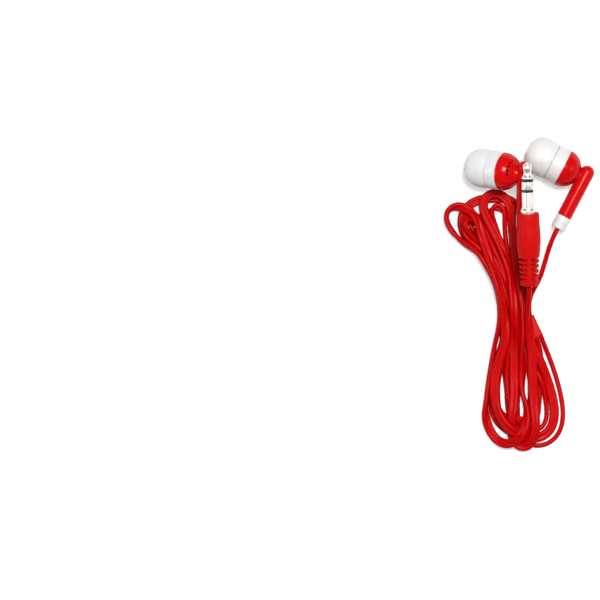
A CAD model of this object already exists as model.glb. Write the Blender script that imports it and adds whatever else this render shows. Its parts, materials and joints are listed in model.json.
import json
import math

import bmesh
import bpy
import numpy as np
from mathutils import Matrix, Vector


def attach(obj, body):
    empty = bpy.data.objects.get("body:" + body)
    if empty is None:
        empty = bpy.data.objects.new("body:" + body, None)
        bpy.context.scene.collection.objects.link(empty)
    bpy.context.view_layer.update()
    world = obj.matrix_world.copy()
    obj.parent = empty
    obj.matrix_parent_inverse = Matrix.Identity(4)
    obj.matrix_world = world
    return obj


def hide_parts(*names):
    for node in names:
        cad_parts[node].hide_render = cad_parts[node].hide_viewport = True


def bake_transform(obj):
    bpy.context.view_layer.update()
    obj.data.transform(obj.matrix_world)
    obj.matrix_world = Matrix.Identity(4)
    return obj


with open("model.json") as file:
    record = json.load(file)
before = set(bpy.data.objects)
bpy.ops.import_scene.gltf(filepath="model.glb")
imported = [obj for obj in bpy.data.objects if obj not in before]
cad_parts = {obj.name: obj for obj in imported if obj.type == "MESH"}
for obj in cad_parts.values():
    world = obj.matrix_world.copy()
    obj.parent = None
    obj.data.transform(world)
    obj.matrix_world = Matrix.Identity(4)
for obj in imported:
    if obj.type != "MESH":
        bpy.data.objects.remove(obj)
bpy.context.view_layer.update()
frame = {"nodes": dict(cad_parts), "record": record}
NODES = frame["nodes"]
MM = 0.001
CENTRE = np.array([-0.58, -0.3, 0.0])  # the same shift that the CAD model gives the whole set


# ------------------------------ helpers
def link(obj):
    bpy.context.scene.collection.objects.link(obj)
    return obj


def mesh_object(name, verts, faces):
    mesh = bpy.data.meshes.new(name)
    mesh.from_pydata([tuple(map(float, v)) for v in verts], [], [tuple(map(int, f)) for f in faces])
    mesh.update()
    mesh.polygons.foreach_set("use_smooth", [True] * len(mesh.polygons))
    return link(bpy.data.objects.new(name, mesh))


def catmull(points, step):
    """Points evenly spaced by about `step` along a centripetal curve through the given ones."""
    points = np.asarray(points, float)
    ext = np.vstack([2 * points[0] - points[1], points, 2 * points[-1] - points[-2]])
    u = np.linspace(0, 1, 24, endpoint=False)[:, None]
    fine = []
    for i in range(1, len(ext) - 2):
        p0, p1, p2, p3 = ext[i - 1], ext[i], ext[i + 1], ext[i + 2]
        spans = (p1 - p0, p2 - p1, p3 - p2)
        d0, d1, d2 = (max(np.linalg.norm(span[:3]) ** 0.5, 1e-6) for span in spans)
        m1 = (p2 - p1) + d1 * ((p1 - p0) / d0 - (p2 - p0) / (d0 + d1))
        m2 = (p2 - p1) + d1 * ((p3 - p2) / d2 - (p3 - p1) / (d1 + d2))
        fine.append((2 * u**3 - 3 * u**2 + 1) * p1 + (u**3 - 2 * u**2 + u) * m1
                    + (-2 * u**3 + 3 * u**2) * p2 + (u**3 - u**2) * m2)
    fine = np.vstack(fine + [points[-1:]])
    along = np.concatenate([[0], np.cumsum(np.linalg.norm(np.diff(fine[:, :3], axis=0), axis=1))])
    n = max(2, int(round(along[-1] / step)) + 1)
    where = np.linspace(0, along[-1], n)
    return np.stack([np.interp(where, along, fine[:, k]) for k in range(fine.shape[1])], axis=1)


# ------------------------------ camera
FIELD = 0.1749  # width of the view, in metres
VIEW_MIDDLE = (-0.0666, -0.0335)  # from the set's own origin
VIEW_HEIGHT = 0.008  # the height at which the view is FIELD wide
DISTANCE = 2.5
SENSOR = 36
camera_data = bpy.data.cameras.new("camera")
camera_data.sensor_width = SENSOR
camera_data.lens = SENSOR * DISTANCE / FIELD
camera_data.clip_end = 20
camera = bpy.data.objects.new("camera", camera_data)
camera.location = (VIEW_MIDDLE[0] + CENTRE[0] * MM, VIEW_MIDDLE[1] + CENTRE[1] * MM, DISTANCE + VIEW_HEIGHT)
link(camera)
bpy.context.scene.camera = camera

# ------------------------------ cord: routes
# x, y in millimetres, then the layer (the lowest on the surface, higher ones on top) and, for the twin
# cord, its roll in degrees (0 lies flat, 90 stands on edge).
TWIN = [
    (0.12, -28.9, 9.0, 90), (0.15, -30.6, 8.8, 90), (0.2, -33.0, 8.6, 85), (0.1, -36.5, 8.6, 60),
    (0.1, -40.0, 8.6, 30), (0.5, -44.0, 8.6, 5), (1.3, -49.0, 8.6, 0), (1.5, -56.0, 8.6, 0),
    (1.6, -63.0, 8.4, 0), (1.5, -70.0, 8.0, 0), (0.9, -74.3, 7.4, 5), (-0.6, -77.0, 5.5, 30),
    (-2.7, -76.6, 4.2, 50), (-3.8, -73.4, 3.6, 50), (-4.1, -69.0, 3.4, 30), (-4.2, -62.0, 3.4, 0),
    (-4.4, -55.0, 3.6, 0), (-4.4, -48.0, 4.4, 0), (-4.3, -42.0, 6.0, 0), (-4.5, -36.4, 7.2, 0),
    (-5.1, -31.0, 7.6, 0), (-5.9, -26.6, 7.6, 0), (-6.8, -22.8, 7.6, 0), (-7.9, -19.2, 7.6, 0),
    (-9.1, -16.2, 7.6, 0), (-10.5, -13.3, 7.6, 0), (-11.9, -10.5, 7.6, 0), (-13.1, -7.8, 7.6, 0),
    (-13.4, -5.0, 7.6, 10), (-12.5, -2.9, 7.6, 20), (-10.8, -1.9, 7.4, 25), (-9.0, -1.8, 7.4, 20),
    (-7.4, -3.2, 7.6, 5), (-6.0, -5.6, 7.6, 0), (-5.0, -9.0, 7.6, 0), (-4.6, -13.0, 7.6, 0),
    (-4.5, -18.0, 7.6, 0), (-4.3, -22.8, 7.6, 0), (-3.8, -27.2, 7.6, 0), (-3.0, -31.0, 7.4, 20),
    (-2.4, -35.0, 7.0, 50), (-2.1, -41.0, 6.6, 65), (-2.7, -47.5, 6.2, 70), (-2.9, -53.2, 6.0, 75),
    (-1.6, -60.5, 6.0, 80), (-0.6, -66.4, 6.0, 75), (-1.4, -71.4, 6.0, 70), (-3.2, -75.2, 6.0, 60),
    (-5.6, -77.0, 6.0, 60), (-8.4, -76.2, 6.0, 60), (-10.8, -73.2, 6.0, 62), (-12.2, -68.2, 6.0, 65),
    (-12.2, -61.6, 6.0, 65), (-11.5, -54.6, 6.0, 65), (-10.4, -48.0, 5.8, 75), (-9.3, -42.0, 5.4, 80),
    (-8.7, -36.5, 5.2, 80), (-9.0, -31.5, 5.2, 80), (-10.4, -26.6, 5.2, 85), (-12.2, -22.4, 5.2, 85),
    (-14.9, -19.2, 5.2, 85), (-18.3, -16.8, 5.2, 85), (-21.6, -13.9, 5.2, 85), (-24.2, -10.4, 5.2, 85),
    (-24.9, -7.4, 5.2, 85), (-23.4, -5.5, 5.2, 85), (-20.6, -5.6, 5.4, 60), (-17.8, -7.3, 5.6, 20),
    (-15.5, -10.8, 5.6, 5), (-13.7, -15.0, 5.6, 5), (-12.2, -19.6, 5.6, 5), (-10.7, -24.6, 5.6, 5),
    (-9.2, -29.6, 5.4, 5), (-7.8, -34.6, 5.2, 5), (-6.8, -40.0, 5.0, 0), (-6.9, -45.0, 4.8, 0),
    (-8.2, -49.6, 4.6, 0), (-9.4, -54.0, 4.6, 0), (-9.7, -60.0, 4.6, 0), (-8.6, -65.0, 4.6, 0),
    (-6.2, -69.4, 4.4, 0), (-3.2, -72.2, 4.2, 0), (0.2, -74.0, 4.2, 0), (3.6, -74.4, 4.2, 0),
    (6.3, -72.9, 4.4, 0), (7.8, -69.8, 4.6, 0), (7.9, -66.0, 4.6, 0), (6.8, -61.8, 4.6, 0),
    (5.2, -57.6, 4.6, 0), (3.4, -53.4, 4.4, 5), (1.6, -48.8, 4.0, 15), (0.2, -43.8, 3.4, 30),
    (-1.0, -39.0, 2.6, 45), (-1.8, -34.0, 2.0, 60), (-2.2, -28.0, 1.4, 60), (-1.9, -21.0, 1.0, 50),
    (-1.6, -14.0, 1.0, 50), (-1.9, -8.6, 1.0, 50), (-3.2, -5.2, 1.0, 50), (-5.8, -3.8, 1.0, 40),
    (-9.0, -4.2, 1.0, 30), (-12.0, -4.1, 1.2, 40), (-14.6, -3.9, 1.4, 50), (-16.8, -3.8, 1.6, 60),
    (-18.4, -5.2, 1.6, 70), (-19.2, -8.4, 1.4, 80), (-18.8, -12.2, 1.2, 80), (-17.2, -16.0, 1.2, 80),
    (-14.6, -20.0, 1.2, 80), (-12.0, -24.6, 1.4, 75), (-9.8, -29.8, 1.8, 70), (-8.1, -35.0, 2.0, 60),
    (-7.0, -41.0, 2.4, 30), (-7.2, -46.6, 2.4, 30), (-9.3, -54.0, 2.2, 0), (-9.6, -60.0, 2.0, 0),
    (-8.4, -64.8, 2.0, 0), (-6.0, -68.8, 2.0, 10), (-2.6, -71.8, 2.0, 20), (0.3, -72.6, 2.0, 20),
    (1.8, -70.4, 2.4, 10), (1.9, -66.0, 3.0, 0), (1.7, -59.4, 3.2, 0), (1.0, -52.0, 3.4, 5),
    (-0.6, -45.6, 3.4, 20), (-3.0, -40.0, 3.2, 30), (-5.0, -35.6, 3.4, 30), (-6.6, -31.4, 3.8, 20),
    (-7.9, -27.0, 3.8, 5), (-9.1, -22.6, 3.8, 0), (-10.6, -18.8, 3.8, 0), (-11.9, -15.6, 3.8, 0),
    (-13.2, -12.4, 3.8, 5), (-14.6, -10.2, 3.6, 20), (-16.6, -8.6, 3.2, 50), (-18.6, -9.0, 2.8, 70),
    (-19.2, -11.3, 2.6, 70), (-18.1, -14.1, 2.4, 70), (-15.8, -17.3, 1.6, 60), (-13.0, -21.0, 0.8, 40),
    (-10.4, -25.4, 0.0, 10), (-7.4, -29.4, -0.8, 0), (-4.4, -32.8, -0.8, 0), (-1.9, -35.4, -0.6, 10),
    (-0.8, -36.9, -0.2, 30), (-0.05, -38.2, 0.2, 40),
]
LEFT_BRANCH = [
    (2.2, -43.9, 0.4), (2.5, -45.6, 0.4), (2.6, -49.0, 0.8), (2.3, -54.0, 0.4), (2.2, -60.0, 0.2),
    (2.2, -66.0, 0.2), (2.0, -70.4, 0.2), (0.5, -73.0, 0.2), (-1.9, -72.6, 0.2), (-3.0, -69.4, 0.2),
    (-3.1, -66.0, 0.2), (-3.1, -60.0, 0.2), (-3.3, -53.0, 0.6), (-3.7, -46.0, 1.2), (-4.1, -40.0, 2.2),
    (-4.5, -35.0, 3.4), (-5.2, -29.6, 4.2), (-6.2, -24.0, 4.8), (-7.4, -19.0, 5.0), (-8.9, -15.0, 5.0),
    (-9.8, -11.4, 5.0), (-10.4, -8.0, 5.0), (-9.8, -5.2, 5.0), (-8.1, -4.3, 5.0), (-6.7, -6.2, 5.0),
    (-6.4, -12.0, 5.0), (-6.1, -17.0, 5.0), (-5.6, -22.6, 4.8), (-4.9, -28.0, 4.2), (-4.0, -33.0, 3.2),
    (-3.0, -38.6, 2.4), (-1.2, -44.6, 1.8), (0.4, -49.4, 1.6), (1.9, -54.4, 1.6), (3.6, -59.4, 1.6),
    (5.1, -63.6, 1.6), (5.5, -67.2, 1.6), (4.8, -70.4, 1.6), (2.6, -72.4, 1.6), (0.4, -71.9, 1.6),
    (-1.5, -70.2, 1.8), (-3.5, -68.0, 2.2), (-5.1, -64.6, 2.6), (-6.1, -60.4, 2.8), (-6.8, -54.4, 3.0),
    (-6.9, -48.0, 3.0), (-6.7, -42.0, 3.0), (-6.4, -36.0, 2.8), (-6.9, -30.4, 2.4), (-8.2, -25.0, 2.2),
    (-9.9, -19.8, 2.0), (-11.9, -16.2, 2.0), (-13.5, -12.9, 2.0), (-15.2, -10.2, 2.0), (-17.3, -9.3, 2.0),
    (-19.1, -10.6, 2.0), (-18.8, -13.3, 2.0), (-16.9, -16.3, 2.0), (-14.2, -19.4, 2.0), (-11.4, -23.4, 2.0),
    (-9.6, -28.2, 2.2), (-8.4, -33.0, 2.4), (-7.5, -38.6, 2.2), (-7.1, -45.0, 1.4), (-8.8, -52.0, 0.6),
    (-9.0, -59.0, 0.2), (-8.0, -64.6, 0.2), (-6.0, -68.2, 0.2), (-4.2, -69.4, 0.4), (-3.3, -67.4, 1.0),
    (-3.6, -62.0, 1.4), (-3.6, -56.0, 1.4), (-3.2, -50.0, 1.4), (-2.6, -44.0, 1.6), (-2.3, -38.0, 1.8),
    (-2.2, -34.2, 1.8), (-1.9, -29.0, 1.9), (-1.6, -24.0, 2.6), (-1.48, -19.5, 3.6), (-1.46, -15.6, 4.8),
    (-1.46, -12.2, 5.4),
]
RIGHT_BRANCH = [
    (3.5, -43.4, 0.4), (4.2, -45.2, 0.4), (5.6, -48.2, 0.5), (7.0, -51.8, 0.4), (8.2, -55.5, 0.2),
    (9.3, -59.4, 0.0), (10.1, -63.2, 0.0), (10.5, -67.0, 0.0), (10.2, -70.8, 0.0), (8.8, -74.0, 0.0),
    (6.4, -76.0, 0.0), (3.2, -76.4, 0.0), (0.0, -75.8, 0.0), (-3.2, -73.8, 0.0), (-6.0, -70.8, 0.0),
    (-8.6, -66.4, 0.0), (-10.2, -60.8, 0.0), (-10.0, -55.0, 0.2), (-8.4, -49.6, 0.4), (-7.0, -44.0, 0.6),
    (-7.6, -36.0, 0.8), (-7.9, -30.6, 1.0), (-9.2, -25.2, 0.8), (-10.6, -20.0, 0.6), (-11.8, -15.0, 0.4),
    (-12.7, -10.6, 0.2), (-12.4, -8.0, 0.2), (-10.6, -6.5, 0.2), (-7.8, -6.7, 0.2), (-5.6, -8.0, 0.2),
    (-4.1, -10.8, 0.2), (-3.4, -14.4, 0.2), (-3.2, -19.0, 0.2), (-3.2, -25.0, 0.4), (-3.3, -30.6, 0.8),
    (-3.2, -36.0, 1.0), (-2.2, -42.0, 0.8), (-0.7, -48.6, 0.4), (0.4, -55.4, 0.2), (0.8, -62.0, 0.0),
    (0.7, -68.0, 0.0), (-0.8, -71.4, 0.0), (-3.0, -70.6, 0.2), (-4.8, -67.0, 0.2), (-5.8, -61.6, 0.2),
    (-6.2, -55.0, 0.4), (-6.6, -48.0, 0.8), (-6.6, -41.0, 1.2), (-7.0, -35.4, 1.4), (-8.2, -30.6, 1.4),
    (-10.0, -25.8, 1.2), (-12.2, -21.2, 0.6), (-14.6, -17.4, 0.2), (-17.2, -14.3, 0.2), (-18.7, -11.4, 0.2),
    (-18.0, -8.9, 0.2), (-15.9, -8.4, 0.2), (-14.1, -10.3, 0.2), (-12.9, -13.0, 0.2), (-11.9, -16.2, 0.4),
    (-10.6, -19.6, 0.6), (-9.2, -24.4, 0.9), (-7.2, -30.0, 1.2), (-5.4, -35.6, 1.6), (-4.8, -42.0, 1.4),
    (-4.6, -49.0, 0.8), (-4.5, -56.0, 0.4), (-4.4, -62.0, 0.4), (-3.4, -67.2, 0.6), (-1.4, -69.8, 0.8),
    (0.8, -69.0, 1.2), (1.6, -64.4, 1.4), (1.6, -57.0, 1.6), (1.2, -51.0, 1.8), (0.4, -46.0, 2.0),
    (-0.1, -41.0, 2.2), (0.1, -36.6, 2.2), (0.9, -33.4, 2.2), (1.9, -31.2, 2.2), (3.3, -28.0, 2.4),
    (4.6, -23.5, 2.8), (5.9, -19.0, 3.4), (7.1, -15.4, 3.9), (8.54, -12.68, 3.9),
]
CORE = 0.72  # radius of one core
HALF_TWIN = 0.70  # from the twin's centre to a core's centre
STEP = 2.0  # from one point of a core to the next
LIFT = 2.3  # layers start this far apart, and settle
LOWEST_LAYER = -0.8

# The heights at which the cords' ends are held as they settle, from the plug, splitter or earbud on.
PLUG_END_A = [11.9, 11.2, 10.3, 9.3]
PLUG_END_B = [10.5, 9.8, 8.9, 7.9]
SPLITTER_END_A, SPLITTER_END_B = [1.2, 1.55], [2.1, 2.45]
SPLITTER_END_LEFT, SPLITTER_END_RIGHT = [2.1, 2.3], [2.1, 2.2]
LEFT_EARBUD_END = [2.8, 3.4, 4.4, 5.9, 7.5, 8.6]
RIGHT_EARBUD_END = [3.4, 3.9, 4.4, 5.0, 5.6, 5.75]
# Solids that the cords lie against: the two ends of a centre line, then a radius.
SOLIDS = [
    ((-15.7, 5.4, 5.6), (-9.2, 4.3, 9.2), 5.75),  # left ear tip and ring
    ((-7.4, 4.0, 10.2), (-4.8, 3.6, 11.7), 5.0),  # left dome
    ((0.8, -38.9, 2.0), (2.7, -43.9, 2.0), 1.15),  # splitter
    ((-0.4, -6.0, 16.0), (0.0, -21.0, 12.9), 3.6),  # plug
    ((-1.46, 3.0, 12.6), (-1.46, -12.7, 8.7), 2.25),  # left stem
]
WAIST_Y, WAIST_LENGTH = -36.5, 9.0  # where the hank is drawn together
# How far left and right a core's middle may lie about there: y, then x. Elsewhere there is no limit.
LEFT_CHEEK = np.array([
    (-64.0, -12.3), (-61.5, -12.1), (-55.7, -11.3), (-51.0, -10.5), (-45.2, -9.4), (-42.0, -8.5),
    (-39.4, -8.25), (-34.7, -8.13), (-32.4, -8.5), (-27.7, -9.9), (-24.8, -11.4), (-23.0, -12.6),
    (-20.1, -14.1), (-18.1, -16.6)])
RIGHT_CHEEK = np.array([(-38.0, 0.05), (-34.7, 0.07), (-33.4, 0.4), (-31.0, 1.2)])
NO_LIMIT = 99
# Openings through the hank, kept clear at every height: the two ends of a line, then a half width.
OPENINGS = [
    ((-8.3, -44.6), (-8.4, -46.8), 0.4),
    ((-7.5, -58.2), (-7.3, -65.4), 0.62),
    ((-0.5, -57.0), (-0.5, -62.0), 0.5),
    ((-1.8, -62.6), (-1.7, -67.6), 0.5),
    ((4.3, -64.4), (4.2, -69.2), 0.45),
]
TIGHTEST_TWIN, TIGHTEST_SINGLE = 3.4, 3.5  # between a point's two neighbours, so that a core never kinks
NEAR = 4.4  # pieces of core nearer than this may touch in the next few steps
NEIGHBOURS = 5  # pieces of one core that are fewer than this apart can't touch
# The number of steps, and the shares of them after which the fall slows and the routes stop pulling.
STEPS, QUICK_STEPS, LATE, CALM = 620, 240, 0.75, 0.93
FALL, LATE_FALL = 0.16, 0.05
FIRST_PULL, STEADY_PULL, WAIST_PULL, CALM_PULL = 0.22, 0.05, 0.25, 0.015
TWIST, CALM_TWIST = 0.10, 0.02


def nearest(p1, q1, p2, q2):
    """How far along p1 to q1 and along p2 to q2 the two come closest, and the vector between those places."""
    d1, d2, r = q1 - p1, q2 - p2, p1 - p2
    a = np.einsum("ij,ij->i", d1, d1)
    e = np.einsum("ij,ij->i", d2, d2)
    f = np.einsum("ij,ij->i", d2, r)
    c = np.einsum("ij,ij->i", d1, r)
    b = np.einsum("ij,ij->i", d1, d2)
    den = np.maximum(a * e - b * b, 1e-6)
    s = np.clip((b * f - c * e) / den, 0, 1)
    t = np.clip((b * s + f) / e, 0, 1)
    s = np.clip((b * t - c) / a, 0, 1)
    return s, t, (p1 + s[:, None] * d1) - (p2 + t[:, None] * d2)


def near_pieces(points, pieces, core, place):
    """Pairs of pieces of core that may touch, by the number of each piece's first point."""
    middles = 0.5 * (points[pieces] + points[pieces + 1])
    found = []
    for low in range(0, len(pieces), 256):
        d = middles[low:low + 256, None, :] - middles[None, :, :]
        i, j = np.nonzero(np.einsum("ijk,ijk->ij", d, d) < NEAR**2)
        i = i + low
        once = i < j
        found.append(np.stack([i[once], j[once]]))
    i, j = np.concatenate(found, axis=1)
    i, j = pieces[i], pieces[j]
    beside = np.abs(place[i] - place[j]) < NEIGHBOURS
    same_core = (core[i] == core[j]) & beside
    same_twin = (core[i] + core[j] == 1) & beside
    apart = ~(same_core | same_twin)
    return i[apart], j[apart]


def push_apart(points, i, j):
    """Moves pieces of core that run into each other apart, each by about half of what is missing."""
    s, t, gap = nearest(points[i], points[i + 1], points[j], points[j + 1])
    dist = np.linalg.norm(gap, axis=1)
    hit = dist < 2 * CORE
    if not hit.any():
        return
    i, j, s, t = i[hit], j[hit], s[hit], t[hit]
    push = gap[hit] / np.maximum(dist[hit], 1e-6)[:, None] * ((2 * CORE - dist[hit]) * 0.5)[:, None]
    move = np.zeros_like(points)
    weight = np.zeros(len(points))
    for index, share, sign in ((i, 1 - s, 1), (i + 1, s, 1), (j, 1 - t, -1), (j + 1, t, -1)):
        for k in range(3):
            move[:, k] += np.bincount(index, sign * share * push[:, k], len(points))
        weight += np.bincount(index, share, len(points))
    points += move / np.maximum(weight, 1.0)[:, None] * 1.2


def draw_to(points, i, j, distance, share=1.0):
    """Brings points i and j to a distance from each other, or a share of the way."""
    d = points[j] - points[i]
    length = np.linalg.norm(d, axis=1)
    fix = share * (0.5 * (length - distance) / length)[:, None] * d
    points[i] += fix
    points[j] -= fix


def stiffen(points, inner, tightest):
    """Straightens each core a little about its inner points, and opens what is bent too tightly."""
    bend = 0.5 * (points[inner - 1] + points[inner + 1]) - points[inner]
    points[inner] += 0.10 * bend
    points[inner - 1] -= 0.04 * bend
    points[inner + 1] -= 0.04 * bend
    d = points[inner + 1] - points[inner - 1]
    length = np.linalg.norm(d, axis=1)
    short = np.maximum(0, tightest - length)
    points[inner + 1] += 0.25 * (short / length)[:, None] * d
    points[inner - 1] -= 0.25 * (short / length)[:, None] * d


def clear_of(points, line, clearance, free, share=1.0):
    """Moves the free points that are within the clearance of a line out of it, or a share of the way."""
    p, q = np.array(line[0]), np.array(line[1])
    t = np.clip(((points - p) @ (q - p)) / ((q - p) @ (q - p)), 0, 1)
    d = points - (p + t[:, None] * (q - p))
    length = np.maximum(np.linalg.norm(d, axis=1), 1e-6)
    short = clearance - length
    inside = (short > 0) & free
    points[inside] += share * (d[inside] / length[inside][:, None]) * short[inside][:, None]


def lifted(route):
    """A route's points with each layer at its starting height."""
    out = route[:, :3].copy()
    out[:, 2] = CORE + 0.1 + (out[:, 2] - LOWEST_LAYER) * LIFT
    return out


def settle():
    """Lays the cords on the surface and on each other: the twin's two cores, then the two branches."""
    twin, left, right = (catmull(np.array(route), step=STEP) for route in (TWIN, LEFT_BRANCH, RIGHT_BRANCH))
    n_twin, n_left, n_right = len(twin), len(left), len(right)
    core_a, core_b = slice(0, n_twin), slice(n_twin, 2 * n_twin)
    left_start, right_start = 2 * n_twin, 2 * n_twin + n_left

    centre = lifted(twin)
    tangent = np.gradient(centre, axis=0)
    tangent[:, 2] = 0
    tangent /= np.linalg.norm(tangent, axis=1)[:, None]
    across = np.stack([-tangent[:, 1], tangent[:, 0], np.zeros(n_twin)], axis=1)
    roll = np.radians(twin[:, 3])[:, None]
    side_goal = HALF_TWIN * (np.cos(roll) * across + np.sin(roll) * np.array([0, 0, 1.0]))
    points = np.vstack([centre - side_goal, centre + side_goal, lifted(left), lifted(right)])
    count = len(points)
    core = np.concatenate([np.full(n, k) for k, n in enumerate((n_twin, n_twin, n_left, n_right))])
    place = np.concatenate([np.arange(n) for n in (n_twin, n_twin, n_left, n_right)])
    pieces = np.flatnonzero(core[:-1] == core[1:])  # piece i joins points i and i + 1
    inner = np.flatnonzero(core[:-2] == core[2:]) + 1
    tightest = np.where(core[inner] < 2, TIGHTEST_TWIN, TIGHTEST_SINGLE)
    flat = points.copy()  # as the cords lie once the layers have come down
    flat[:, 2] = CORE + points[:, 2] / LIFT
    rest = np.linalg.norm(flat[pieces + 1] - flat[pieces], axis=1)
    halves = [(pieces[place[pieces] % 2 == parity], rest[place[pieces] % 2 == parity]) for parity in (0, 1)]
    rung = np.arange(n_twin)
    brace = np.arange(n_twin - 1)
    guide = np.vstack([centre, centre, points[left_start:]])[:, :2]
    at_waist = np.exp(-((guide[:, 1:2] - WAIST_Y) / WAIST_LENGTH) ** 2)

    z_goal = np.full(count, np.nan)
    for first, last, heights in (
            (0, 4, PLUG_END_A), (n_twin, n_twin + 4, PLUG_END_B),
            (n_twin - 2, n_twin, SPLITTER_END_A), (2 * n_twin - 2, 2 * n_twin, SPLITTER_END_B),
            (left_start, left_start + 2, SPLITTER_END_LEFT), (right_start - 11, right_start, LEFT_EARBUD_END),
            (right_start, right_start + 2, SPLITTER_END_RIGHT), (count - 9, count, RIGHT_EARBUD_END)):
        index = np.arange(first, last)
        spread = np.linspace(0, len(index) - 1, len(heights))
        z_goal[index] = np.interp(np.arange(len(index)), spread, heights)
    held = np.isfinite(z_goal)
    held_goal = guide.copy()
    held_goal[core_a] -= side_goal[:, :2]
    held_goal[core_b] += side_goal[:, :2]
    firm = np.where(held, 0.5, 0.0)[:, None]  # held points also keep their place on the surface

    steps = STEPS
    for number in range(steps):
        share = number / steps
        calm = share >= CALM
        points[:, 2] -= np.where(held, 0, FALL if share < LATE else LATE_FALL)
        mean = points[:, :2].copy()
        mean[core_a] = mean[core_b] = 0.5 * (points[core_a, :2] + points[core_b, :2])
        pull = CALM_PULL if calm else FIRST_PULL * (1 - share) + STEADY_PULL + WAIST_PULL * at_waist
        points[:, :2] += pull * (guide - mean)
        points[:, :2] += firm * (held_goal - points[:, :2])
        points[held, 2] += 0.3 * (z_goal[held] - points[held, 2])
        turn = (CALM_TWIST if calm else TWIST) * (side_goal - 0.5 * (points[core_b] - points[core_a]))
        points[core_a] -= turn
        points[core_b] += turn
        if number % 4 == 0:
            near = near_pieces(points, pieces, core, place)
        for _ in range(3):
            push_apart(points, *near)
            for half, distance in halves:
                draw_to(points, half, half + 1, distance)
            draw_to(points, rung, n_twin + rung, 2 * HALF_TWIN)
            for i, j in ((brace, n_twin + brace + 1), (n_twin + brace, brace + 1)):
                draw_to(points, i, j, math.hypot(STEP, 2 * HALF_TWIN), share=0.3)
            stiffen(points, inner, tightest)
            for *line, radius in SOLIDS:
                clear_of(points, line, radius + CORE, ~held)
            low = np.interp(points[:, 1], *LEFT_CHEEK.T, left=-NO_LIMIT, right=-NO_LIMIT)
            high = np.interp(points[:, 1], *RIGHT_CHEEK.T, left=NO_LIMIT, right=NO_LIMIT)
            points[:, 0] += np.where(held, 0, 0.5 * (np.clip(points[:, 0], low, high) - points[:, 0]))
            for *line, half_width in OPENINGS:
                clear_of(points[:, :2], line, half_width + CORE, ~held, share=0.5)
            points[:, 2] = np.maximum(points[:, 2], CORE)
    points += CENTRE
    return (points[core_a], points[core_b]), points[left_start:right_start], points[right_start:]


def smooth_line(points, rounds):
    """Draws points towards the middle of their neighbours; the ends stay."""
    points = points.copy()
    for _ in range(rounds):
        points[1:-1] += 0.25 * (points[:-2] + points[2:] - 2 * points[1:-1])
    return points


def tangents(line):
    """The direction of a line at each of its points."""
    t = np.gradient(line, axis=0)
    return t / np.linalg.norm(t, axis=1)[:, None]


def sweep(name, line, sides, section):
    """A tube along a line: section gives (along side, along normal) for each vertex of a ring."""
    t = tangents(line)
    sides = sides - np.einsum("ij,ij->i", sides, t)[:, None] * t
    sides /= np.linalg.norm(sides, axis=1)[:, None]
    normal = np.cross(t, sides)
    section = np.asarray(section)
    k = len(section)
    rings = (line[:, None, :] + section[None, :, 0:1] * sides[:, None, :]
             + section[None, :, 1:2] * normal[:, None, :])
    verts = rings.reshape(-1, 3) * MM
    faces = []
    for i in range(len(line) - 1):
        for j in range(k):
            n = (j + 1) % k
            faces.append((i * k + j, i * k + n, (i + 1) * k + n, (i + 1) * k + j))
    total = len(verts)
    verts = np.vstack([verts, verts[:k], verts[-k:]])  # the end caps have corners of their own
    faces.append(tuple(reversed(range(total, total + k))))
    faces.append(tuple(range(total + k, total + 2 * k)))
    return mesh_object(name, verts, faces)


def carried_side(line):
    """Side vectors that turn as little as possible along a line."""
    side = np.array((0, 0, 1), float)
    out = []
    for v in tangents(line):
        side = side - (side @ v) * v
        side /= np.linalg.norm(side)
        out.append(side.copy())
    return np.array(out)


def round_section():
    turn = np.linspace(0, 2 * np.pi, 14, endpoint=False)
    return np.stack([CORE * np.cos(turn), CORE * np.sin(turn)], axis=1)


def twin_section():
    """Two round cores side by side, with a shallow groove above and below the web between them."""
    turn = np.radians(np.linspace(40, 320, 11))
    one_core = np.stack([-HALF_TWIN + CORE * np.cos(turn), CORE * np.sin(turn)], axis=1)
    return np.vstack([one_core, -one_core])


(twin_a, twin_b), left_line, right_line = settle()
FINE_STEP = 0.9
ROUNDS = 6
SIDE_ROUNDS = 8
LEAD = int(36 / FINE_STEP)  # the stretch beside the plug and beside the right earbud that bends with them

both = catmull(np.hstack([0.5 * (twin_a + twin_b), twin_b - twin_a]), step=FINE_STEP)
twin_line, twin_side = smooth_line(both[:, :3], ROUNDS), smooth_line(both[:, 3:], SIDE_ROUNDS)
left_fine = smooth_line(catmull(left_line, step=FINE_STEP), ROUNDS)
right_fine = smooth_line(catmull(right_line, step=FINE_STEP), ROUNDS)
right_lead_line = right_fine[len(right_fine) - LEAD - 1:]
right_rest_line = right_fine[:len(right_fine) - LEAD]
right_sides = carried_side(right_fine)
right_lead_sides = right_sides[len(right_fine) - LEAD - 1:]
right_rest_sides = right_sides[:len(right_fine) - LEAD]

plug_lead = sweep("plug_cord_lead", twin_line[:LEAD + 1], twin_side[:LEAD + 1], twin_section())
main_cord = sweep("main_cord", twin_line[LEAD:], twin_side[LEAD:], twin_section())
left_branch = sweep("left_branch_cord", left_fine, carried_side(left_fine), round_section())
right_lead = sweep("right_cord_lead", right_lead_line, right_lead_sides, round_section())
right_branch = sweep("right_branch_cord", right_rest_line, right_rest_sides, round_section())


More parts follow.
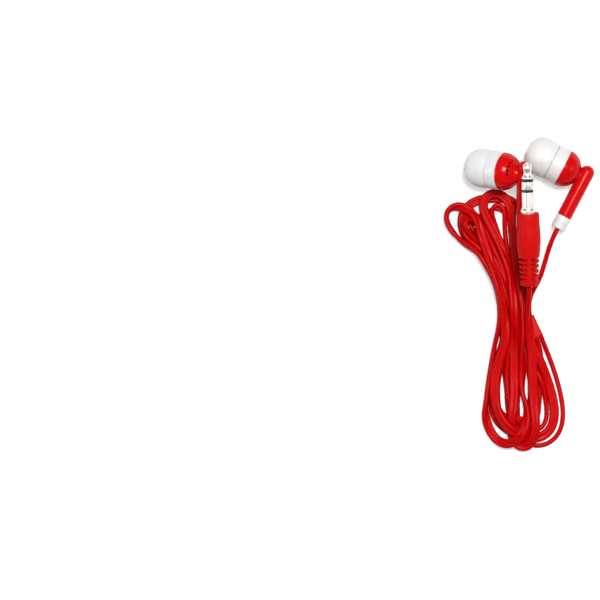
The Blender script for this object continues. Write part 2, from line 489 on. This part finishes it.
# ------------------------------ turned pieces
# All in millimetres. A piece's own axes are up, forward and side, and its outline is turned about forward.
RIGHT_JOINT = np.array([10.1, 5.1, 5.75]) + CENTRE
LEFT_JOINT = np.array([-7.4, 4.0, 10.2]) + CENTRE
PLUG_SHOULDER = np.array([-0.35, -8.2, 15.6]) + CENTRE
SPLITTER_MIDDLE = np.array([1.7, -41.3, 2.0]) + CENTRE
SHELL_RADIUS, RING_LENGTH, DOME_DEPTH = 5.6, 3.6, 5.4
STEM_RADIUS, STEM_OFFSET, STEM_TOP, STEM_LENGTH = 2.15, 6.9, 4.1, 12.4
CHAMBER_RADIUS, SPIGOT_RADIUS, SPIGOT_DEPTH = 4.75, 5.05, 0.8
NOZZLE_RADIUS, NOZZLE_LIP, NOZZLE_END = 2.4, 2.65, 7.0
TIP_RADIUS, TIP_BACK, TIP_BULGE, TIP_FRONT, TIP_WALL = 5.7, 3.95, 6.8, 11.8, 0.55
TIP_MOUTH, TIP_CORE_BORE, TIP_CORE_RADIUS = 1.9, 2.7, 3.35
BACK_POWER, FRONT_POWER = 3.2, 2.4  # how full the ear tip's superellipse is, behind and before its bulge


class Place:
    """Where a piece lies: a point and the three directions of its own axes."""

    def __init__(self, point, up, forward):
        self.point = np.asarray(point, float)
        forward = np.asarray(forward, float) / np.linalg.norm(forward)
        up = np.asarray(up, float) - (np.asarray(up, float) @ forward) * forward
        up /= np.linalg.norm(up)
        self.axes = np.stack([up, forward, np.cross(up, forward)])

    def world(self, verts):
        return (self.point + np.asarray(verts, float) @ self.axes) * MM


def joint_axis(name):
    joints = frame["record"]["behaviour"]["joints"]
    return np.array(next(joint["axis"] for joint in joints if joint["name"] == name), float)


RIGHT_FORWARD, LEFT_FORWARD = joint_axis("right_ear_tip_pull"), joint_axis("left_ear_tip_pull")
RIGHT = Place(RIGHT_JOINT, (RIGHT_FORWARD[1], -RIGHT_FORWARD[0], 0), RIGHT_FORWARD)
LEFT = Place(LEFT_JOINT, (0, -LEFT_FORWARD[2], LEFT_FORWARD[1]), LEFT_FORWARD)
PLUG_FORWARD = np.array([-0.022, 0.979, 0.203])
PLUG = Place(PLUG_SHOULDER, (PLUG_FORWARD[1], -PLUG_FORWARD[0], 0), PLUG_FORWARD)


def softened(corners, count=5):
    """An outline of (radius, height, rounding) corners, with each corner rounded by that much."""
    out = []
    total = len(corners)
    for i, (r, h, rounding) in enumerate(corners):
        here = np.array([r, h], float)
        before, after = np.array(corners[i - 1][:2], float), np.array(corners[(i + 1) % total][:2], float)
        if rounding <= 0:
            out.append(here)
            continue
        a, b = before - here, after - here
        la, lb = np.linalg.norm(a), np.linalg.norm(b)
        cut = min(rounding, 0.48 * la, 0.48 * lb)
        start, end = here + a / la * cut, here + b / lb * cut
        for s in np.linspace(0, 1, count):
            out.append((1 - s) ** 2 * start + 2 * s * (1 - s) * here + s**2 * end)
    return out


def lathe(name, outline, segments=96):
    """A closed mesh turned about the forward axis: a ring, or a solid if its outline ends on the axis."""
    verts, rings = [], []
    for r, h in outline:
        if r < 1e-6:
            rings.append([len(verts)] * segments)
            verts.append((0, h, 0))
            continue
        rings.append(list(range(len(verts), len(verts) + segments)))
        for k in range(segments):
            turn = 2 * math.pi * k / segments
            verts.append((r * math.cos(turn), h, r * math.sin(turn)))
    closed = not (outline[0][0] < 1e-6 and outline[-1][0] < 1e-6)
    faces = []
    for i in range(len(rings) if closed else len(rings) - 1):
        a, b = rings[i], rings[(i + 1) % len(rings)]
        for k in range(segments):
            n = (k + 1) % segments
            corner = list(dict.fromkeys((a[k], a[n], b[n], b[k])))
            if len(corner) > 2:
                faces.append(corner)
    obj = mesh_object(name, verts, faces)
    tidy_normals(obj)
    return obj


def tidy_normals(obj):
    """Turns every face outwards."""
    work = bmesh.new()
    work.from_mesh(obj.data)
    bmesh.ops.recalc_face_normals(work, faces=work.faces)
    work.to_mesh(obj.data)
    work.free()


def combine(base, tools, operation):
    """Joins the tools to the base mesh, or cuts them from it, and removes them."""
    for tool in tools:
        change = base.modifiers.new("combine", "BOOLEAN")
        change.operation = operation
        change.solver = "MANIFOLD"
        change.object = tool
    done = bpy.data.meshes.new_from_object(base.evaluated_get(bpy.context.evaluated_depsgraph_get()))
    base.modifiers.clear()
    base.data = done
    for tool in tools:
        bpy.data.objects.remove(tool)
    return base


def moved(obj, matrix):
    obj.data.transform(matrix)
    return obj


def lay(obj, place, crease):
    """Puts a piece made in its own frame where it lies, and shades it smooth up to its creases."""
    verts = np.empty(3 * len(obj.data.vertices))
    obj.data.vertices.foreach_get("co", verts)
    obj.data.vertices.foreach_set("co", place.world(verts.reshape(-1, 3)).ravel())
    obj.data.update()
    tidy_normals(obj)
    obj.data.shade_smooth()
    obj.data.set_sharp_from_angle(angle=math.radians(crease))
    return obj


def bowl(radius, depth, first, count):
    """(radius, height) points of a quarter of an ellipse, from so many degrees below its rim to the axis."""
    points = []
    for turn in np.linspace(math.radians(first), math.pi / 2, count):
        on_axis = turn >= math.pi / 2 - 1e-6
        points.append((0 if on_axis else radius * math.cos(turn), -depth * math.sin(turn)))
    return points


# Turns what is made about the forward axis so that it lies along the stem.
DOWN_STEM = Matrix.Translation((0, -STEM_OFFSET, 0)) @ Matrix.Rotation(math.pi / 2, 4, "Z")


def skirt_arc(radius, reach, low, high, count):
    """(radius, height) points of a superellipse about TIP_BULGE, fuller towards its back."""
    points = []
    for turn in np.linspace(low, high, count):
        power = FRONT_POWER if turn > 0 else BACK_POWER
        rise = math.copysign(abs(math.sin(turn)) ** (2 / power), turn)
        points.append((radius * math.cos(turn) ** (2 / power), TIP_BULGE + reach * rise))
    return points


def turn_for(height, reach):
    """The turn at which a skirt arc behind the bulge is at this height."""
    share = (height - TIP_BULGE) / reach
    return math.copysign(math.asin(min(1, abs(share)) ** (BACK_POWER / 2)), share)


def ear_tip(name, place):
    """A silicone mushroom: a thin skirt that folds back at the mouth into the core that grips the nozzle."""
    reach = TIP_FRONT - TIP_BULGE
    inner_reach = reach - 0.6
    core_end = NOZZLE_END + 0.3
    core_back = RING_LENGTH + 0.3
    outer = skirt_arc(TIP_RADIUS, reach, turn_for(TIP_BACK, reach), math.radians(78), 36)
    inner_low = turn_for(TIP_BACK, inner_reach)
    inner = skirt_arc(TIP_RADIUS - TIP_WALL, inner_reach, inner_low, math.radians(42), 20)
    lip = [(TIP_RADIUS - 0.75, TIP_BACK - 0.2), (TIP_RADIUS - 0.6, TIP_BACK - 0.29),
           (TIP_RADIUS - 0.36, TIP_BACK - 0.27)]
    mouth = softened([(2.55, TIP_FRONT - 0.02, 0.3), (TIP_MOUTH, TIP_FRONT - 0.25, 0.5),
                      (TIP_MOUTH, core_end, 0.0)])
    core = softened([(TIP_CORE_BORE, core_end, 0.1), (TIP_CORE_BORE, core_back, 0.15),
                     (TIP_CORE_RADIUS, core_back, 0.2), (TIP_CORE_RADIUS, inner[-1][1] - 0.3, 0.0)])
    core[0] = np.array([TIP_CORE_BORE, core_end])  # the step that the nozzle's end stops at is square
    return lay(lathe(name, outer + mouth + core + inner[::-1] + lip), place, 40)


def front_housing(name, place):
    """The white ring with its nozzle, and the spigot that goes into the rear housing."""
    chamber_end = 2.7
    outline = softened([
        (SHELL_RADIUS, 0.05, 0.12), (SHELL_RADIUS, RING_LENGTH, 0.15), (NOZZLE_RADIUS, RING_LENGTH, 0.25),
        (NOZZLE_RADIUS, NOZZLE_END - 0.9, 0.1), (NOZZLE_LIP, NOZZLE_END - 0.65, 0.12),
        (NOZZLE_LIP, NOZZLE_END - 0.25, 0.15), (NOZZLE_RADIUS, NOZZLE_END, 0.1), (2.3, NOZZLE_END, 0.0),
        (2.3, NOZZLE_END - 0.4, 0.0), (1.8, NOZZLE_END - 0.4, 0.0), (1.8, chamber_end, 0.2),
        (CHAMBER_RADIUS, chamber_end, 0.3), (CHAMBER_RADIUS, -SPIGOT_DEPTH, 0.0),
        (SPIGOT_RADIUS, -SPIGOT_DEPTH, 0.08), (SPIGOT_RADIUS, 0.05, 0.0)])
    return lay(lathe(name, outline), place, 40)


def nozzle_screen(name, place):
    """Fine crossed wires in a rim, at the end of the nozzle."""
    height = NOZZLE_END - 0.2
    low, high, inner, outer = height - 0.13, height + 0.13, 1.95, 2.24
    wire, spacing, reach, waves, wave_height = 0.04, 0.35, 2.0, 8, 0.035
    corners = [(inner, low, 0.04), (outer, low, 0.04), (outer, high, 0.04), (inner, high, 0.04)]
    rim = lathe(name, softened(corners, 3), 48)
    work = bmesh.new()
    work.from_mesh(rim.data)
    for axis in (0, 1):
        for offset in np.arange(-5 * spacing, 5 * spacing + 0.01, spacing):
            half = math.sqrt(reach**2 - offset**2)
            for k, wave in enumerate(np.linspace(-half, half, waves + 1)[:-1]):
                rise = wave_height * (1 if (k + axis) % 2 else -1)
                ring = []
                for along, lift in ((wave, -rise), (wave + 2 * half / waves, rise)):
                    for du, dv in ((-wire, -wire), (wire, -wire), (wire, wire), (-wire, wire)):
                        x, z = (along, offset + du) if axis == 0 else (offset + du, along)
                        ring.append(work.verts.new((x, height + lift + dv, z)))
                for i in range(4):
                    work.faces.new((ring[i], ring[(i + 1) % 4], ring[4 + (i + 1) % 4], ring[4 + i]))
                work.faces.new(ring[3::-1])
                work.faces.new(ring[4:])
    work.to_mesh(rim.data)
    work.free()
    return lay(rim, place, 40)


def vents(vent_side):
    """Cutters for the row of vents round the back of the dome, each a little wider at the surface."""
    depth, radius, flare = 3.55, 0.38, 0.14
    ring = SHELL_RADIUS * math.sqrt(1 - (depth / DOME_DEPTH) ** 2)
    outline = [(0, 2), (radius, 2), (radius, 3.92), (radius + flare, 4.1), (radius + flare, 7), (0, 7)]
    cutters = []
    for degrees in (14, 31, 48, 65, 82):
        turn = math.radians(degrees)
        outwards = Vector((math.cos(turn), -0.45, vent_side * math.sin(turn))).normalized()
        rim = Vector((ring * math.cos(turn), -depth, vent_side * ring * math.sin(turn)))
        spin = Vector((0, 1, 0)).rotation_difference(outwards).to_matrix().to_4x4()
        cutters.append(moved(lathe("vent", outline, 24), Matrix.Translation(rim - 4 * outwards) @ spin))
    return cutters


def rear_housing(name, place, vent_side):
    """The red dome and its stem in one moulding, hollow, with a bore down the stem for the cord."""
    rim = [(0, -0.05), (SHELL_RADIUS - 0.12, -0.05), (SHELL_RADIUS, -0.15)]
    dome = lathe(name, rim + bowl(SHELL_RADIUS, DOME_DEPTH, 2, 40), 128)
    stem_line = [(0, -STEM_TOP)]
    for turn in np.linspace(math.radians(7), math.pi / 2, 18):
        height = STEM_RADIUS - STEM_TOP - STEM_RADIUS * math.cos(turn)
        stem_line.append((STEM_RADIUS * math.sin(turn), height))
    stem_line += [(STEM_RADIUS, STEM_LENGTH - 0.12), (STEM_RADIUS - 0.12, STEM_LENGTH), (0, STEM_LENGTH)]
    stem = moved(lathe("stem", stem_line, 64), DOWN_STEM)
    # A soft fillet where the dome runs into the stem.
    neck_line = [(0, -DOME_DEPTH + 1.6), (3.1, -DOME_DEPTH + 1.05), (2.5, -DOME_DEPTH + 0.35),
                 (2.05, -DOME_DEPTH - 0.3), (1.85, -DOME_DEPTH - 0.9), (0, -DOME_DEPTH - 0.9)]
    shell = combine(dome, [stem, lathe("neck", neck_line, 64)], "UNION")
    socket = [(0, 1), (SPIGOT_RADIUS + 0.05, 1), (SPIGOT_RADIUS + 0.05, -SPIGOT_DEPTH - 0.05)]
    hollow = lathe("hollow", socket + bowl(CHAMBER_RADIUS, DOME_DEPTH - 0.85, 12, 16), 64)
    bore_line = [(0, -1.2), (1.35, -1.2), (1.35, STEM_LENGTH + 1), (0, STEM_LENGTH + 1)]
    bore = moved(lathe("bore", bore_line, 48), DOWN_STEM)
    return lay(combine(shell, [hollow, bore, *vents(vent_side)], "DIFFERENCE"), place, 34)


def strain_relief(name, place):
    """The white collar at the stem's end, with the sleeve that plugs into the stem."""
    bore, sleeve, radius = 0.95, 1.3, 2.2
    inside, shoulder, end = STEM_LENGTH - 2.6, STEM_LENGTH + 0.05, STEM_LENGTH + 4.1
    outline = softened([(bore, inside, 0.0), (sleeve, inside, 0.05), (sleeve, shoulder, 0.0),
                        (radius, shoulder, 0.12), (radius, end, 0.45), (bore, end, 0.15)])
    return lay(moved(lathe(name, outline, 64), DOWN_STEM), place, 40)


# The plug's heights count from the overmould's end along the pin.
PIN_RADIUS, BAND_RADIUS, FLANGE_RADIUS = 1.75, 1.71, 2.15
FLANGE_END, SLEEVE_END, RING_END, PIN_LENGTH, BAND = 1.45, 6.25, 9.4, 14.9, 0.75
GAP = 0.05  # between a contact and a band


def pin_layer(name, inner, tube, band, low, high, tail, edge):
    """A contact or an insulator: a band on the pin, on a tube that runs back to `tail` inside the plug."""
    outline = softened([(inner, tail, 0.0), (tube, tail, 0.0), (tube, low, 0.0), (band, low, edge),
                        (band, high, edge), (inner, high, 0.0)])
    return lay(lathe(name, outline, 64), PLUG, 40)


def plug_tip():
    """The tip contact, waisted behind its rounded end, on a rod that runs back through the pin."""
    rod, tail = 0.45, -4
    low = RING_END + BAND + GAP
    contour = softened([
        (0.6, low, 0.0), (PIN_RADIUS, low, 0.06), (PIN_RADIUS, low + 0.45, 0.12), (1.17, low + 1.2, 0.35),
        (1.2, low + 2.2, 0.3), (1.44, PIN_LENGTH - 1.35, 0.5), (0.95, PIN_LENGTH - 0.25, 0.55)])
    outline = [(0, tail), (rod, tail), (rod, low)] + contour + [(rod, PIN_LENGTH - 0.03), (0, PIN_LENGTH)]
    return lay(lathe("plug_tip_contact", outline, 64), PLUG, 50)


def plug_sleeve():
    """The sleeve contact with its flange."""
    bore, shank, tail = 1.4, 2.1, -1.4
    outline = softened([
        (bore, tail, 0.0), (shank, tail, 0.0), (shank, 0.05, 0.0), (FLANGE_RADIUS, 0.05, 0.05),
        (FLANGE_RADIUS, FLANGE_END - 0.5, 0.12), (PIN_RADIUS + 0.15, FLANGE_END - 0.1, 0.1),
        (PIN_RADIUS, FLANGE_END + 0.15, 0.1), (PIN_RADIUS, SLEEVE_END, 0.05), (bore, SLEEVE_END, 0.0)])
    return lay(lathe("plug_sleeve_contact", outline, 64), PLUG, 40)


def groove(middle):
    """A cutter for one groove of the plug's relief, left out along a spine on either side."""
    bottom, outside, half, half_mouth = 2.0, 5, 0.38, 0.42
    corners = [(bottom, middle - half, 0.18), (outside, middle - half_mouth, 0.0),
               (outside, middle + half_mouth, 0.0), (bottom, middle + half, 0.18)]
    ring = lathe("groove", softened(corners, 4), 64)
    for side in (-1, 1):
        spine = bmesh.new()
        where = Matrix.Translation((0, middle, side * 4.0)) @ Matrix.Diagonal((1.1, 1.6, 5.0, 1))
        bmesh.ops.create_cube(spine, size=1.0, matrix=where)
        mesh = bpy.data.meshes.new("spine")
        spine.to_mesh(mesh)
        spine.free()
        combine(ring, [link(bpy.data.objects.new("spine", mesh))], "DIFFERENCE")
    return ring


def plug_overmould():
    """The red body of the plug, hollow round the inner mould, with five grooves in its relief."""
    hollow, depth, end = 2.45, -9.6, -21.6
    contour = softened([
        (2.6, 0, 0.0), (3.28, -0.02, 0.35), (3.37, -3.6, 1.5), (3.59, -6.2, 1.5), (3.61, -8.4, 1.5),
        (3.4, -11.2, 1.2), (3.15, -12.9, 1.0), (2.95, -15.5, 1.2), (2.7, -20.9, 0.6), (2.4, end, 0.3)])
    body = lathe("plug_body", [(0, depth), (hollow, depth), (hollow, 0)] + contour + [(0, end)], 96)
    combine(body, [groove(-13.5 - 1.48 * i) for i in range(5)], "DIFFERENCE")
    return lay(body, PLUG, 34)


def splitter():
    """A moulded wedge of rounded section, wider at the blunt end where the two single cords leave."""
    work = bmesh.new()
    count, half, squareness = 40, 3.4, 2 / 3.4
    stations = [(-1.0, 0.62), (-0.985, 0.84), (-0.93, 0.97), (-0.6, 1.0), (-0.2, 1.0), (0.3, 1.0),
                (0.75, 1.0), (0.94, 0.99), (0.985, 0.93), (1.0, 0.8)]  # along, swell
    rings = []
    for along, swell in stations:
        width = (1.3 + 0.4 * ((along + 1) / 2) ** 1.4) * swell
        thick = 1.1 * swell
        ring = []
        for k in range(count):
            turn = 2 * math.pi * k / count
            x = width * math.copysign(abs(math.cos(turn)) ** squareness, math.cos(turn))
            z = thick * math.copysign(abs(math.sin(turn)) ** squareness, math.sin(turn))
            ring.append(work.verts.new((x, -along * half, z)))
        rings.append(ring)
    for a, b in zip(rings, rings[1:]):
        for k in range(count):
            n = (k + 1) % count
            work.faces.new((a[k], a[n], b[n], b[k]))
    work.faces.new(rings[0])
    work.faces.new(rings[-1])
    mesh = bpy.data.meshes.new("cord_splitter")
    work.to_mesh(mesh)
    work.free()
    turn = math.radians(21)
    up, forward = (math.cos(turn), math.sin(turn), 0), (-math.sin(turn), math.cos(turn), 0)
    return lay(link(bpy.data.objects.new("cord_splitter", mesh)), Place(SPLITTER_MIDDLE, up, forward), 50)


# ------------------------------ materials
def uneven(name, low, high, rough, scale, detail, ends=(0.0, 1.0)):
    """A material whose colour and gloss drift together, with its shader and its coordinates."""
    material = bpy.data.materials.new(name)
    material.use_nodes = True
    nodes, links = material.node_tree.nodes, material.node_tree.links
    shader = nodes["Principled BSDF"]
    where = nodes.new("ShaderNodeTexCoord")
    noise = nodes.new("ShaderNodeTexNoise")
    noise.inputs["Scale"].default_value = scale
    noise.inputs["Detail"].default_value = detail
    ramp = nodes.new("ShaderNodeValToRGB")
    for element, position, colour in zip(ramp.color_ramp.elements, ends, (low, high)):
        element.position = position
        element.color = (*colour, 1)
    gloss = nodes.new("ShaderNodeMapRange")
    gloss.inputs["To Min"].default_value, gloss.inputs["To Max"].default_value = rough
    links.new(where.outputs["Object"], noise.inputs["Vector"])
    links.new(noise.outputs["Fac"], ramp.inputs["Fac"])
    links.new(ramp.outputs["Color"], shader.inputs["Base Color"])
    links.new(noise.outputs["Fac"], gloss.inputs["Value"])
    links.new(gloss.outputs["Result"], shader.inputs["Roughness"])
    return material, shader, where


def plastic(name, low, high, rough, scale=60.0, bump=0.02, bump_scale=900.0, sss=0.0, spec=0.5):
    """A moulded surface: slightly uneven colour, uneven gloss and a fine skin texture."""
    material, shader, where = uneven(name, low, high, rough, scale, detail=5, ends=(0.3, 0.7))
    nodes, links = material.node_tree.nodes, material.node_tree.links
    fine = nodes.new("ShaderNodeTexNoise")
    fine.inputs["Scale"].default_value = bump_scale
    fine.inputs["Detail"].default_value = 3
    relief = nodes.new("ShaderNodeBump")
    relief.inputs["Strength"].default_value = bump
    relief.inputs["Distance"].default_value = 0.0001
    links.new(where.outputs["Object"], fine.inputs["Vector"])
    links.new(fine.outputs["Fac"], relief.inputs["Height"])
    links.new(relief.outputs["Normal"], shader.inputs["Normal"])
    shader.inputs["Specular IOR Level"].default_value = spec
    if sss:
        shader.inputs["Subsurface Weight"].default_value = sss
        shader.inputs["Subsurface Radius"].default_value = (0.0012, 0.0011, 0.001)
        shader.inputs["Subsurface Scale"].default_value = 1.0
    return material


def metal(name, low, high, rough):
    """Bare metal of slightly uneven colour and gloss."""
    material, shader, _ = uneven(name, low, high, rough, scale=40.0, detail=4)
    shader.inputs["Metallic"].default_value = 1.0
    return material


CORD_RED = plastic("cord_pvc", (0.31, 0.0003, 0.0006), (0.36, 0.0006, 0.0012), rough=(0.30, 0.40),
                   bump=0.05, bump_scale=1600, spec=0.05)
BODY_RED = plastic("overmould_pvc", (0.365, 0.0015, 0.0015), (0.40, 0.002, 0.002), rough=(0.42, 0.55),
                   bump=0.06, bump_scale=1300, spec=0.07)
SHELL_RED = plastic("housing_red", (0.375, 0.0015, 0.002), (0.415, 0.002, 0.003), rough=(0.16, 0.24),
                    bump=0.01, spec=0.11)
SHELL_WHITE = plastic("housing_white", (0.47, 0.466, 0.459), (0.495, 0.491, 0.484), rough=(0.22, 0.32),
                      bump=0.01, spec=0.3)
SILICONE = plastic("tip_silicone", (0.48, 0.476, 0.472), (0.505, 0.50, 0.496), rough=(0.42, 0.52),
                   bump=0.03, sss=0.3, spec=0.3)
BLACK = plastic("black_plastic", (0.008, 0.007, 0.007), (0.016, 0.014, 0.014), rough=(0.3, 0.42))
NICKEL = metal("plug_nickel", (0.86, 0.82, 0.77), (0.92, 0.88, 0.83), (0.34, 0.39))
STEEL = metal("steel", (0.45, 0.45, 0.46), (0.56, 0.56, 0.57), (0.3, 0.42))
FERRITE = metal("magnet_dark", (0.08, 0.08, 0.085), (0.13, 0.13, 0.135), (0.4, 0.5))
COPPER = metal("copper_wire", (0.62, 0.30, 0.16), (0.74, 0.38, 0.20), (0.3, 0.4))
FILM = plastic("film", (0.62, 0.56, 0.42), (0.72, 0.66, 0.52), rough=(0.25, 0.35))
FELT = plastic("felt", (0.06, 0.065, 0.07), (0.12, 0.125, 0.13), rough=(0.85, 0.95), bump=0.5,
               bump_scale=2500)
BOARD = plastic("board", (0.02, 0.12, 0.04), (0.03, 0.17, 0.06), rough=(0.35, 0.5))


def paint(obj, material):
    obj.data.materials.clear()
    obj.data.materials.append(material)


NODE_MATERIALS = {
    "driver_frame": BLACK, "diaphragm": FILM, "voice_coil": COPPER,
    "pole_plate": STEEL, "magnet": FERRITE, "yoke": STEEL, "damping_ring": FELT, "terminal_board": BOARD,
}
for side in ("left", "right"):
    for part, material in NODE_MATERIALS.items():
        paint(NODES[side + "_" + part], material)
paint(NODES["plug_inner_mould"], BLACK)


def stand_in(piece, node, body, material):
    """Gives a piece its material, and lets it stand for a CAD node on the body that it rides on."""
    paint(piece, material)
    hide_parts(node)
    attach(piece, body)
    return piece


for side, place, body, vent_side in (("left", LEFT, "laid_set", 1), ("right", RIGHT, "right_earbud", -1)):
    stand_in(ear_tip(side + "_silicone_tip", place), side + "_ear_tip", side + "_tip", SILICONE)
    for piece, node, material, slot in (
            (front_housing(side + "_front_shell", place), "front_housing", SHELL_WHITE, "white_plastic"),
            (nozzle_screen(side + "_nozzle_screen", place), "nozzle_mesh", STEEL, "steel"),
            (rear_housing(side + "_rear_shell", place, vent_side), "rear_housing", SHELL_RED, "red_plastic"),
            (strain_relief(side + "_stem_collar", place), "strain_relief", SHELL_WHITE, "white_plastic")):
        stand_in(piece, side + "_" + node, body, material)

ring_low = SLEEVE_END + BAND
tip = plug_tip()
tip_band = pin_layer("plug_tip_band", 0.5, 0.75, BAND_RADIUS, RING_END, RING_END + BAND, -1.6, 0.03)
ring = pin_layer("plug_ring_contact", 0.8, 1.05, PIN_RADIUS, ring_low + GAP, RING_END - GAP, -2.6, 0.06)
ring_band = pin_layer("plug_ring_band", 1.1, 1.35, BAND_RADIUS, SLEEVE_END + GAP, ring_low, -1.4, 0.03)
plug_pieces = [
    stand_in(tip, "plug_tip", "plug", NICKEL),
    stand_in(tip_band, "plug_tip_insulator", "plug", BLACK),
    stand_in(ring, "plug_ring", "plug", NICKEL),
    stand_in(ring_band, "plug_ring_insulator", "plug", BLACK),
    stand_in(plug_sleeve(), "plug_sleeve", "plug", NICKEL),
    stand_in(plug_overmould(), "plug_overmould", "plug", BODY_RED),
]
wedge = stand_in(splitter(), "y_splitter", "laid_set", BODY_RED)

for piece in (plug_lead, main_cord, left_branch, right_lead, right_branch):
    paint(piece, CORD_RED)

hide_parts("plug_cord")
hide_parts("hank_upper_loops", "hank_lower_loops")
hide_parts("left_cord")
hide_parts("right_cord")


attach(main_cord, "laid_set")
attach(left_branch, "laid_set")
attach(right_branch, "laid_set")
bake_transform(plug_lead)
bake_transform(right_lead)

# ------------------------------ light table and lights
bpy.ops.mesh.primitive_plane_add(size=3.0, location=(0, 0, 0))
floor = bpy.context.object
floor.name = "floor"
sheet = plastic("light_table", (0.50, 0.50, 0.50), (0.52, 0.52, 0.52), rough=(0.8, 0.9), scale=8, bump=0.0)
sheet_shader = sheet.node_tree.nodes["Principled BSDF"]
sheet_shader.inputs["Emission Color"].default_value = (1, 1, 1, 1)
sheet_shader.inputs["Emission Strength"].default_value = 0.45
paint(floor, sheet)

world = bpy.data.worlds.new("studio")
bpy.context.scene.world = world
world.use_nodes = True
background = world.node_tree.nodes["Background"]
background.inputs["Color"].default_value = (1, 1, 1, 1)
background.inputs["Strength"].default_value = 0.14


def area_light(name, location, size, power):
    data = bpy.data.lights.new(name, "AREA")
    data.size = size
    data.energy = power
    light = link(bpy.data.objects.new(name, data))
    light.location = location
    aim = Vector((0, -0.035, 0)) - Vector(location)
    light.rotation_euler = aim.to_track_quat("-Z", "Y").to_euler()


area_light("top_light", (0.1, 0.2, 1.0), 0.28, 17.4)
area_light("left_light", (-0.9, -0.1, 0.6), 0.4, 2.9)
area_light("right_light", (0.8, -0.1, 0.5), 0.4, 1.2)

bpy.context.scene.view_settings.view_transform = "Standard"
